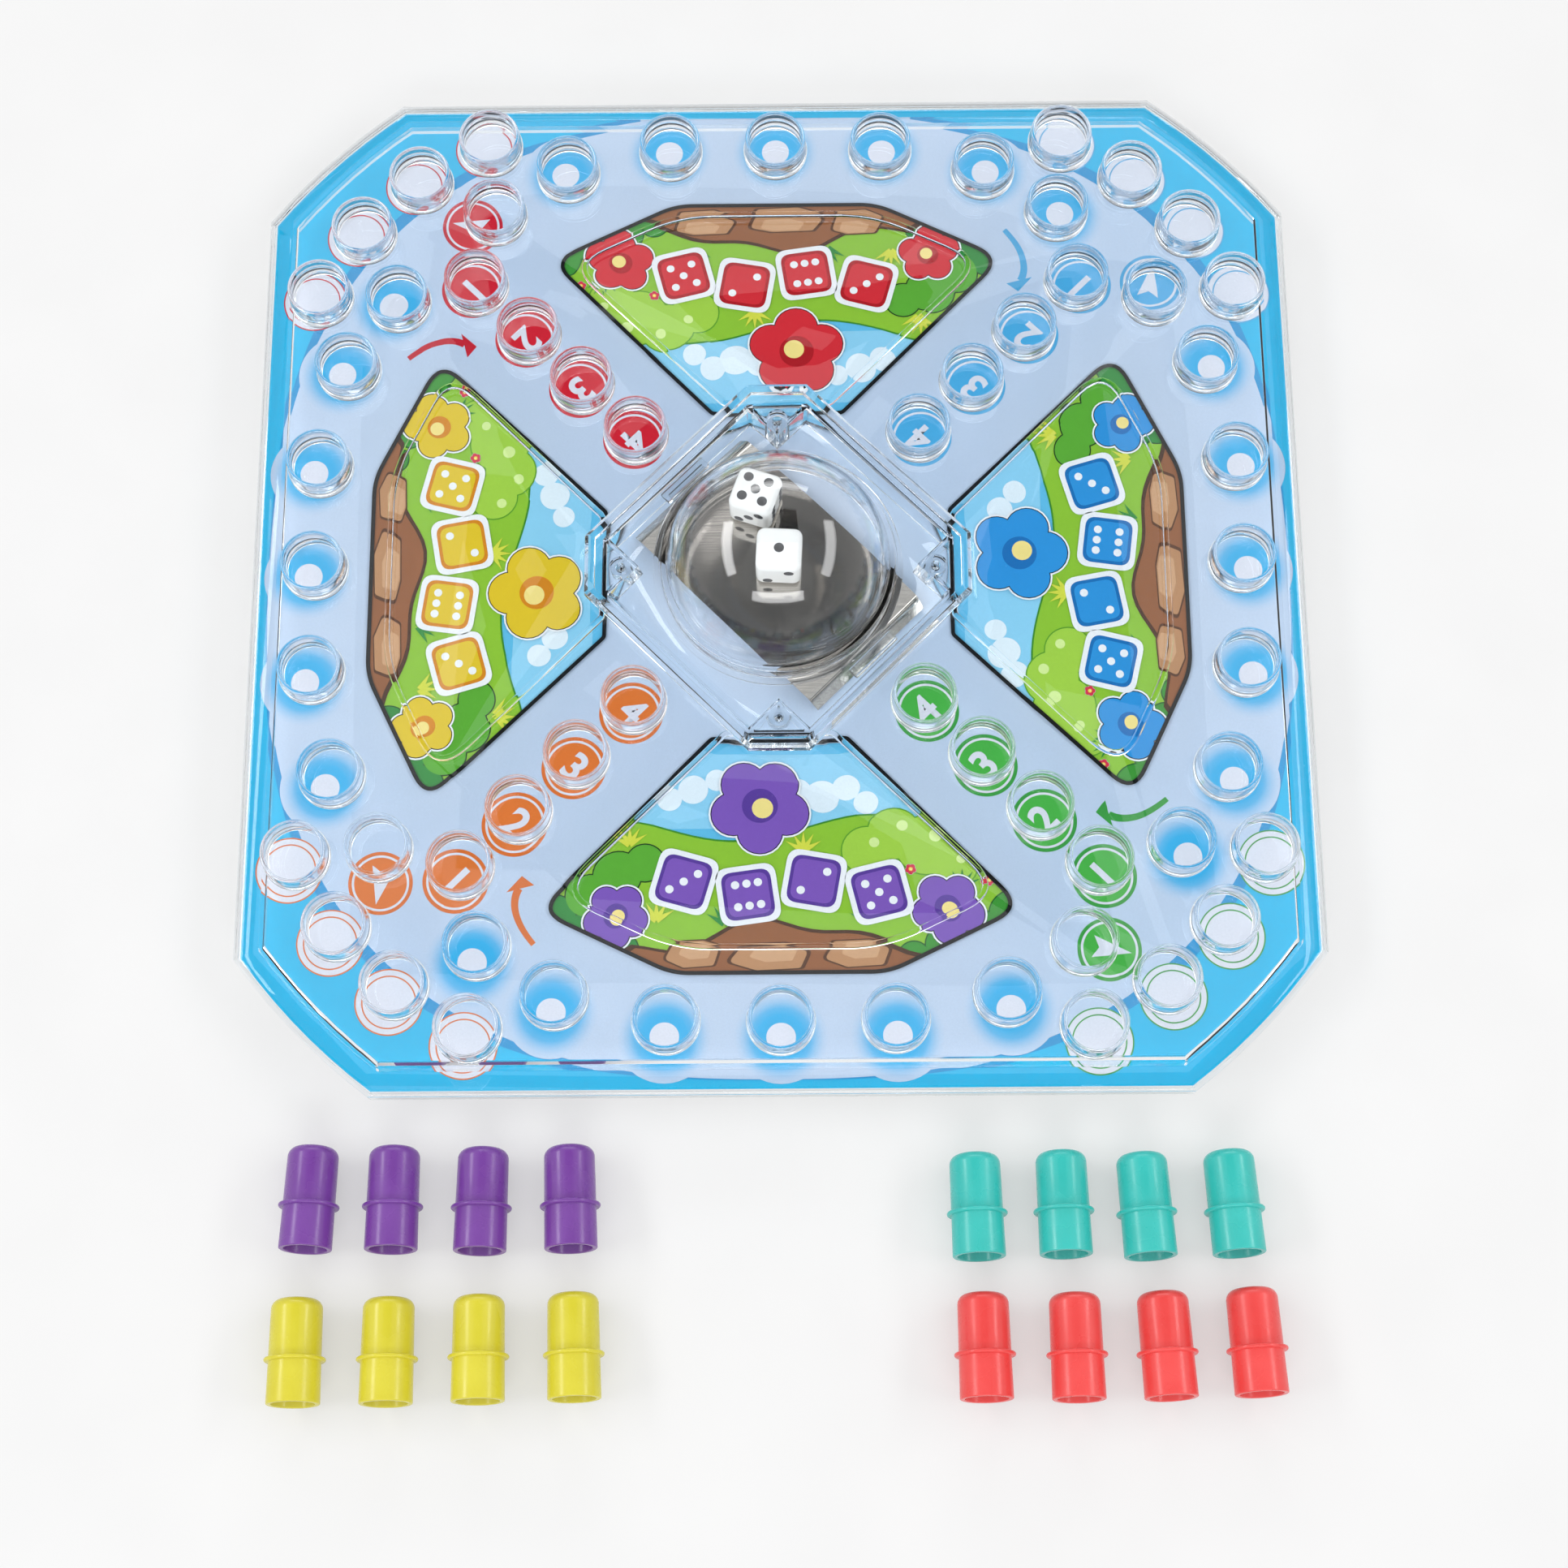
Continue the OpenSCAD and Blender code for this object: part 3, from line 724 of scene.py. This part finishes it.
def circle(radius, x=0.0, y=0.0, count=64):
    """Points round a circle."""
    angles = [2 * math.pi * i / count for i in range(count)]
    return [(x + radius * math.cos(a), y + radius * math.sin(a)) for a in angles]


def superellipse(radius, power, count=240):
    """Points round the bulging square that bounds the pale field."""
    points = []
    for i in range(count):
        a = 2 * math.pi * i / count
        reach = radius / (abs(math.cos(a)) ** power + abs(math.sin(a)) ** power) ** (1 / power)
        points.append((reach * math.cos(a), reach * math.sin(a)))
    return points


def turned(points, quarter):
    """The points after quarter turns to the left."""
    for _ in range(quarter % 4):
        points = [(-y, x) for x, y in points]
    return points


def moved(points, x, y, degrees=0.0, size=1.0):
    """The points scaled, turned and moved."""
    c, s = math.cos(math.radians(degrees)) * size, math.sin(math.radians(degrees)) * size
    return [(x + c * u - s * v, y + s * u + c * v) for u, v in points]


def glow(x, y, layer):
    """A disc that is deep cyan in the middle and fades to the field."""
    fresh()
    bpy.ops.mesh.primitive_circle_add(vertices=40, radius=GLOW[-1][0] * MM, fill_type="TRIFAN")
    disc = bpy.context.object
    bpy.ops.object.mode_set(mode="EDIT")
    for (outer, _), (inner, _) in zip(GLOW[::-1], GLOW[::-1][1:]):
        bpy.ops.mesh.inset(thickness=(outer - inner) * MM)
    bpy.ops.object.mode_set(mode="OBJECT")
    shape = tinted(disc, FIELD, layer)
    for corner, spot in zip(shape.data.vertices, shape.data.color_attributes["ink"].data):
        reach = math.hypot(corner.co.x, corner.co.y) / MM
        share = 1.0
        for (r0, s0), (r1, s1) in zip(GLOW, GLOW[1:]):
            if reach > r0:
                share = s0 + (s1 - s0) * min(1, (reach - r0) / (r1 - r0))
        spot.color = [a * share + b * (1 - share) for a, b in zip(linear(GLOW_BLUE), linear(FIELD))]
    shape.data.transform(shift(x, y))
    return shape


# %% [markdown]
# ## The field, the track and the starts
# The pale field is a bulging square with a deeper blue edge. Each track hole has a white
# dot in a cyan glow. The print is about 2.4 % larger than the moulded pattern, so it
# shows beside the sockets, as on the real board.

# %% Field and track print
PRINT = 1.024
shapes = [ink(superellipse(131.9, 2.7), DEEP_BLUE, 1), ink(superellipse(131.6, 2.5), FIELD, 2)]
for quarter in range(4):
    for x, y in track_places[:5] + track_places[6:]:
        x, y = turned([(x * PRINT, y * PRINT)], quarter)[0]
        shapes.append(glow(x, y, 3))
        shapes.append(ink(circle(3.65, x, y, 40), PAPER, 4))
seat(join(shapes), "field_print", "board", "printed_card", print_ink)

# %% [markdown]
# ## Starts, homes and arrows
# Each side has a colour: thin rings round its four starts, four numbered discs on the way
# home, a disc with a dart where its pegs come in, and a curved arrow beside it. One quarter
# is laid out and turned three times.

# %% Starts, homes and arrows
TEAMS = [("#C81F30", "#D2182C"), ("#DE7030", "#E27531"),
         ("#3C9A42", "#49AE45"), ("#4FA6D4", "#4AA9DA")]
GATE = (-81.4, 99.7)
DART = moved([(0, 5.6), (2.9, -4.2), (0, -2.6), (-2.9, -4.2)], *GATE, 80)
ARROW_TAIL, ARROW_BEND, ARROW_NECK = map(Vector, ((-97.2, 61.2), (-88.6, 68.2), (-82.8, 65.0)))
ARROW_HEAD = [(-79.6, 64.3), (-83.8, 68.1), (-83.0, 65.2), (-82.0, 61.2)]


def ring_print(x, y, outer, inner, colour, layer):
    """A thin printed ring."""
    return ink(circle(outer, x, y), colour, layer, [circle(inner, x, y)])


shapes = []
for quarter, (line_tone, solid_tone) in enumerate(TEAMS):
    for x, y in start_places:
        x, y = turned([(-x * PRINT, y * PRINT)], quarter)[0]
        shapes.append(ink(circle(8.5, x, y), PAPER, 3))
        shapes.append(ring_print(x, y, 8.5, 8.15, line_tone, 4))
        shapes.append(ring_print(x, y, 6.8, 6.45, line_tone, 4))
    for i, (x, y) in enumerate(home_places):
        x, y = turned([(-x * PRINT, y * PRINT)], quarter)[0]
        shapes.append(ink(circle(8.3, x, y), line_tone, 3))
        shapes.append(ring_print(x, y, 7.35, 6.75, PAPER, 4))
        shapes.append(ink(circle(6.75, x, y), solid_tone, 4))
        fresh()
        bpy.ops.object.text_add()
        digit = bpy.context.object
        digit.data.body, digit.data.size, digit.data.offset = str(4 - i), 10.5 * MM, 0.32 * MM
        digit.data.align_x, digit.data.align_y = "CENTER", "CENTER"
        bpy.ops.object.convert(target="MESH")
        digit = bpy.context.object
        digit.data.transform(shift(x, y) @ turn(quarter * 90 + 225))
        shapes.append(tinted(digit, PAPER, 5))
    x, y = turned([GATE], quarter)[0]
    shapes.append(ink(circle(8.1, x, y), line_tone, 3))
    shapes.append(ring_print(x, y, 7.2, 6.6, PAPER, 4))
    shapes.append(ink(circle(6.6, x, y), solid_tone, 4))
    shapes.append(ink(turned(DART, quarter), PAPER, 5))
    upper, lower = [], []
    for t in [k / 14 for k in range(15)]:
        u, v = (1 - t) * ARROW_TAIL + t * ARROW_BEND, (1 - t) * ARROW_BEND + t * ARROW_NECK
        spot, along = (1 - t) * u + t * v, (v - u).normalized() * (0.7 + 0.3 * t)
        upper.append((spot.x - along.y, spot.y + along.x))
        lower.append((spot.x + along.y, spot.y - along.x))
    shapes.append(ink(turned(lower + upper[::-1], quarter), line_tone, 3))
    shapes.append(ink(turned(ARROW_HEAD, quarter), line_tone, 3.3))
seat(join(shapes), "start_and_home_print", "board", "printed_card", print_ink)

# %% [markdown]
# ## Four picture panels
# Each panel is a small landscape inside a black line: sky by the dome, hills, bushes and
# an earth bank at the edge, with tumbling dice and flowers in the colour of the side.
# Shapes that run past the panel are cut back along its edges with bisect.

# %% Panel print
PANEL = [(17, 44.4), (60.5, 89), (27, 105.4), (-27, 105.4), (-60.5, 89), (-17, 44.4)]
PANEL_CORNERS = [2, 5.5, 20, 20, 5.5, 2]
EDGE = rounded(PANEL, PANEL_CORNERS, 8)
INNER = narrowed(EDGE, 1.05)
ACCENTS = [("#B01420", "#D62A35"), ("#D8871F", "#E3C22B"),
           ("#5A3C96", "#7E57B5"), ("#1B6FB4", "#2E93D8")]
RIM_WHITE = "#F2F2F4"


def trimmed(shape):
    """Cuts a printed shape back to just under the panel's black line."""
    pick(shape)
    bpy.ops.object.mode_set(mode="EDIT")
    for i, here in enumerate(INNER):
        there = INNER[(i + 1) % len(INNER)]
        along = Vector((there[0] - here[0], there[1] - here[1], 0)).normalized()
        outward = Vector((along.y, -along.x, 0))
        bpy.ops.mesh.select_all(action="SELECT")
        at = (Vector((*here, CARD_TOP)) + outward * 0.4) * MM
        bpy.ops.mesh.bisect(plane_co=at, plane_no=outward, clear_outer=True)
    bpy.ops.object.mode_set(mode="OBJECT")
    return shape


def blobs(places, radius, colour, layer, edge=None, rim=0.35):
    """A cloud or a bush from overlapping discs, with a thin dark edge if asked."""
    made = []
    for step, (x, y, size) in enumerate(places):
        if edge:
            made.append(ink(circle(radius * size + rim, x, y, 28), edge, layer + 0.2 * step))
        made.append(ink(circle(radius * size, x, y, 28), colour, layer + 1 + 0.2 * step))
    return made


def flower(x, y, size, petal, heart, layer, edge=1.0):
    """A five petalled flower with a pale rim and a black line."""
    made = []
    for rim, tone, level in ((0.7 * edge, RIM_WHITE, layer), (0.25 * edge, "#1C1C20", layer + 0.4),
                             (0.0, petal, layer + 0.8)):
        for k in range(5):
            a = math.radians(90 + 72 * k)
            made.append(ink(circle(size * 0.42 + rim, x + size * 0.52 * math.cos(a),
                                   y + size * 0.52 * math.sin(a), 24), tone, level + 0.07 * k))
    made.append(ink(circle(size * 0.34, x, y, 24), heart, layer + 1.3))
    middle = circle(size * 0.2, x - size * 0.05, y + size * 0.05, 20)
    made.append(ink(middle, "#F7E08A", layer + 1.6))
    return made


def tumbling_die(x, y, size, degrees, dark, bright, count, layer):
    """A rounded square with spots, in the panel's colour, with a white rim."""
    half = size / 2
    square = [(-half, -half), (half, -half), (half, half), (-half, half)]
    made = []
    coats = ((1.22, RIM_WHITE, layer), (1.0, dark, layer + 1), (0.86, bright, layer + 2))
    for grow, tone, level in coats:
        made.append(ink(moved(rounded(square, half * 0.45), x, y, degrees, grow), tone, level))
    for u, v in PIPS[count]:
        spot = moved([(u * half * 0.46, v * half * 0.46)], x, y, degrees)[0]
        made.append(ink(circle(size * 0.085, *spot, 16), RIM_WHITE, layer + 3))
    return made


def mirrored(places, flip):
    """The places (x, y, and the rest) with x turned over for every other panel."""
    return [(x * flip, *rest) for x, *rest in places]


def sky_and_hills(flip):
    """Sky with clouds, the hill and its bushes."""
    art = [ink(INNER, "#62BCE4", 3),
           ink([(-42, 68), (42, 68), (22, 48), (-22, 48)], "#8FD0EE", 4)]
    art += blobs([(-17, 57, 1), (-11, 59.5, 1.3), (-5, 58, 1), (-22, 61, 0.9)], 3.4, "#E6F1F8", 5)
    art += blobs([(16, 55, 0.9), (22, 57.5, 1.2), (28, 60, 1)], 3.2, "#E6F1F8", 5)
    crest = [(x, 67.5 + 3.6 * math.sin(x * 0.085 * flip + 0.6)) for x in range(-62, 64, 3)]
    hill = [(-70, 74)] + crest + [(70, 74), (70, 112), (-70, 112)]
    art.append(ink(hill, "#3F8C2A", 7))
    art.append(ink([(x, y + 0.5) for x, y in hill], "#8FC236", 8))
    far = mirrored([(-44, 78, 1.1), (-37, 72.5, 1.5), (-29, 69.5, 1.3), (-22, 74, 1.2)], flip)
    art += blobs(far, 5.2, "#A4CF48", 9, "#5FA02E")
    art += [ink(circle(1.1 * size, x - 1.6 * size, y - 1.8 * size, 16), "#D9EE9A", 12 + 0.1 * k)
            for k, (x, y, size) in enumerate(far)]
    near = (([(34, 77, 1.1), (41, 80, 1.4), (48, 85, 1.2)], 4.4, "#5DAA35", "#1E3A1E"),
            ([(-57, 90, 1.2), (-50, 95, 1.3), (-41, 98, 1.2), (-33, 101, 0.9)], 4.2,
             "#3E9436", "#22602A"),
            ([(56, 90, 1.2), (48, 95.5, 1.4), (40, 99, 1.1)], 4.4, "#2F8A3C", "#1B5427"))
    for places, radius, leaf_tone, edge_tone in near:
        art += blobs(mirrored(places, flip), radius, leaf_tone, 9, edge_tone)
    return art


def bank_and_grass(flip):
    """The earth bank with its stones, and tufts of grass."""
    brow = [(x, 95.6 - 3.4 * math.cos(x * 0.09) - 1.5 * math.sin(x * 0.21))
            for x in range(37, -38, -3)]
    bank = [(-60, 112), (60, 112)] + brow
    art = [ink(bank, "#4A2A17", 13), ink([(x * 0.97, y + 0.9) for x, y in bank], "#955B36", 14)]
    for x, y, w in ((-19, 100.5, 9), (3, 101.2, 11), (22, 100.4, 7.5)):
        stone = rounded([(-w, -2), (-w * 0.4, -3.4), (w * 0.7, -3), (w, 1), (w * 0.3, 3.4),
                         (-w * 0.8, 2.8)], 1.2)
        art.append(ink(moved(stone, x, y), "#5A331C", 15))
        art.append(ink(moved(stone, x, y, 0, 0.9), "#BD895F", 16))
        art.append(ink(moved(stone, x - 0.1 * w, y - 0.9, 0, 0.55), "#D2A27A", 16.5))
    blade = [(-0.9, 0), (0, 5.2), (0.9, 0)]
    tufts = mirrored([(-46, 84), (-6, 74), (14, 93), (38, 72), (-22, 93), (31, 92)], flip)
    for k, (x, y) in enumerate(tufts):
        tone = "#D9DC4A" if k % 2 else "#2E8B3C"
        art += [ink(moved(blade, x, y, 120 + 30 * j), tone, 17 + 0.18 * j) for j in range(5)]
    return art


def flowers_and_dice(flip, dark, bright):
    """Small red flowers, three large ones and a row of dice."""
    art = []
    for x, y in mirrored([(47, 74.5), (52, 80), (29, 81), (-33, 79), (-52, 82)], flip):
        art += flower(x, y, 1.5, "#D8344C", "#F2D24C", 18, 0.12)
    for x, y, size in mirrored([(-42, 89, 9.5), (41, 90.5, 8.5), (5, 62, 13.5)], flip):
        art += flower(x, y, size, bright, dark, 19)
    row = [(-25, 85, 14, 5), (-8.6, 82, -10, 2), (8, 85.5, 8, 6), (24.2, 82, -16, 3)]
    for x, y, degrees, count in mirrored(row, flip):
        art += tumbling_die(x, y, 12.6, degrees * flip, dark, bright, count, 21)
    return art


for quarter, (dark, bright) in enumerate(ACCENTS):
    flip = -1 if quarter % 2 else 1
    art = sky_and_hills(flip) + bank_and_grass(flip) + flowers_and_dice(flip, dark, bright)
    picture = trimmed(join(art))
    line = ink(EDGE, "#121214", 26, [INNER])
    picture = join([picture, line])
    picture.data.transform(turn(quarter * 90))
    seat(picture, f"panel_print_{quarter + 1}", "board", "printed_card", print_ink)

# %% [markdown]
# ## Floor, light and camera
# The floor is pale, and white to the camera, with the soft shadow kept. Clear plastic is
# seen by the bright lines on its edges, so four long, narrow soft boxes stand round the
# board, each where the flat cover does not mirror it into the camera. The world fills, and
# a dark flag overhead is what the cover and the steel mirror, so the print stays clear. A
# small window in the flag gives the upper end of the steel strip its bright face.

# %% Floor and world


def shown_straight(tree):
    """1 where the camera sees a surface itself, in a mirror or through glass, and 0 where
    it only lights another surface."""
    path = node(tree, "ShaderNodeLightPath").outputs
    clear = node(tree, "ShaderNodeMath", {"operation": "MAXIMUM"}, i0=path["Is Camera Ray"],
                 i1=path["Is Glossy Ray"]).outputs[0]
    clear = node(tree, "ShaderNodeMath", {"operation": "MAXIMUM"}, i0=clear,
                 i1=path["Is Transmission Ray"]).outputs[0]
    first = node(tree, "ShaderNodeMath", {"operation": "LESS_THAN"}, i0=path["Diffuse Depth"],
                 i1=0.5).outputs[0]
    return node(tree, "ShaderNodeMath", {"operation": "MULTIPLY"}, i0=clear, i1=first).outputs[0]


FLOOR_GLOW, LIGHTS_BY, SHOWS_AS = 0.445, 0.53, 0.93
fresh()
bpy.ops.mesh.primitive_plane_add(size=8, location=(0, 0, 0))
floor = bpy.context.object
floor.name = "studio_floor"
floor.data.transform(Matrix.Translation((0, 0, -0.02 * MM)))
floor_paint, tree = coat("Pale studio floor")
speck = patch_noise(tree, 40).outputs["Fac"]
tone = ramp(tree, speck, (0.3, grey(0.46)), (0.7, grey(0.48)))
white = node(tree, "ShaderNodeMath", {"operation": "MULTIPLY"}, i0=shown_straight(tree),
             i1=FLOOR_GLOW).outputs[0]
matt = node(tree, "ShaderNodeBsdfDiffuse", Color=tone)
light = node(tree, "ShaderNodeEmission", Color=linear("#FFFFFF"), Strength=white)
finish_coat(tree, node(tree, "ShaderNodeAddShader", i0=matt.outputs[0],
                       i1=light.outputs[0]).outputs[0])
floor.data.materials.append(floor_paint)

world = bpy.data.worlds.new("Pale studio")
bpy.context.scene.world = world
world.use_nodes = True
tree = world.node_tree
tree.nodes.clear()
level = node(tree, "ShaderNodeMix", {"data_type": "FLOAT"}, i0=shown_straight(tree),
             i2=LIGHTS_BY, i3=SHOWS_AS).outputs[0]
sky = node(tree, "ShaderNodeBackground", Color=linear("#FFFFFF"), Strength=level)
node(tree, "ShaderNodeOutputWorld", Surface=sky.outputs[0])
print("floor and world are set")

# %% Lamps and flags


def strip_box(name, place, aim, long, wide, power):
    """A long area lamp that looks at a point, with its long side level."""
    lamp = bpy.data.lights.new(name, "AREA")
    lamp.shape, lamp.size, lamp.size_y, lamp.energy = "RECTANGLE", long, wide, power
    piece = bpy.data.objects.new(name, lamp)
    bpy.context.scene.collection.objects.link(piece)
    piece.location = place
    piece.rotation_euler = (Vector(aim) - Vector(place)).to_track_quat("-Z", "Y").to_euler()


strip_box("left_box", (-1.45, 0.05, 1.15), (0, 0, 0), 1.7, 0.34, 11)
strip_box("right_box", (1.45, 0.05, 1.05), (0, 0, 0), 1.7, 0.34, 8.6)
strip_box("front_box", (0, -1.5, 1.05), (0, -0.05, 0), 1.7, 0.34, 9.2)
strip_box("back_box", (0, 1.9, 0.85), (0, 0, 0), 1.7, 0.3, 6.8)

window = moved(circle(90, 0, 0, 4), -150, 700, 0)
flag = flat([(-550, 20), (550, 20), (550, 1120), (-550, 1120)], [window])
flag.name = "dark_flag"
flag.data.transform(shift(0, 0, 1500))
flag_cloth, tree = coat("Black flag cloth")
weave = patch_noise(tree, 2).outputs["Fac"]
finish_coat(tree, node(tree, "ShaderNodeBsdfDiffuse",
                       Color=ramp(tree, weave, (0.3, grey(0.01)), (0.7, grey(0.02)))).outputs[0])
flag.data.materials.append(flag_cloth)
flag.visible_camera = False
flag.visible_shadow = False
flag.visible_diffuse = False
print("lamps and flag are set")

# %% [markdown]
# ## Camera
# It stands where the photograph was taken from: high above the pegs' side, tilted down by
# 74 degrees, with a slight yaw and roll.

# %% Camera
tall, yaw, roll = math.radians(74.064), math.radians(0.705), math.radians(-1.132)
target = Vector((1.112, -56.395, CARD_TOP)) * MM
back = Vector((math.sin(yaw) * math.cos(tall), -math.cos(yaw) * math.cos(tall), math.sin(tall)))
right = (-back).cross(Vector((0, 0, 1))).normalized()
up = right.cross(-back)
lens_right = math.cos(roll) * right + math.sin(roll) * up
lens_up = -math.sin(roll) * right + math.cos(roll) * up
lens = bpy.data.cameras.new("photo_camera")
lens.lens, lens.sensor_width, lens.clip_start = 60.34, 36, 0.05
camera = bpy.data.objects.new("photo_camera", lens)
bpy.context.scene.collection.objects.link(camera)
turned_to = Matrix((lens_right, lens_up, back)).transposed().to_4x4()
camera.matrix_world = Matrix.Translation(target + back * 663.429 * MM) @ turned_to
bpy.context.scene.camera = camera
bpy.context.scene.view_settings.view_transform = "Standard"
print("camera at", [round(v, 4) for v in camera.location])
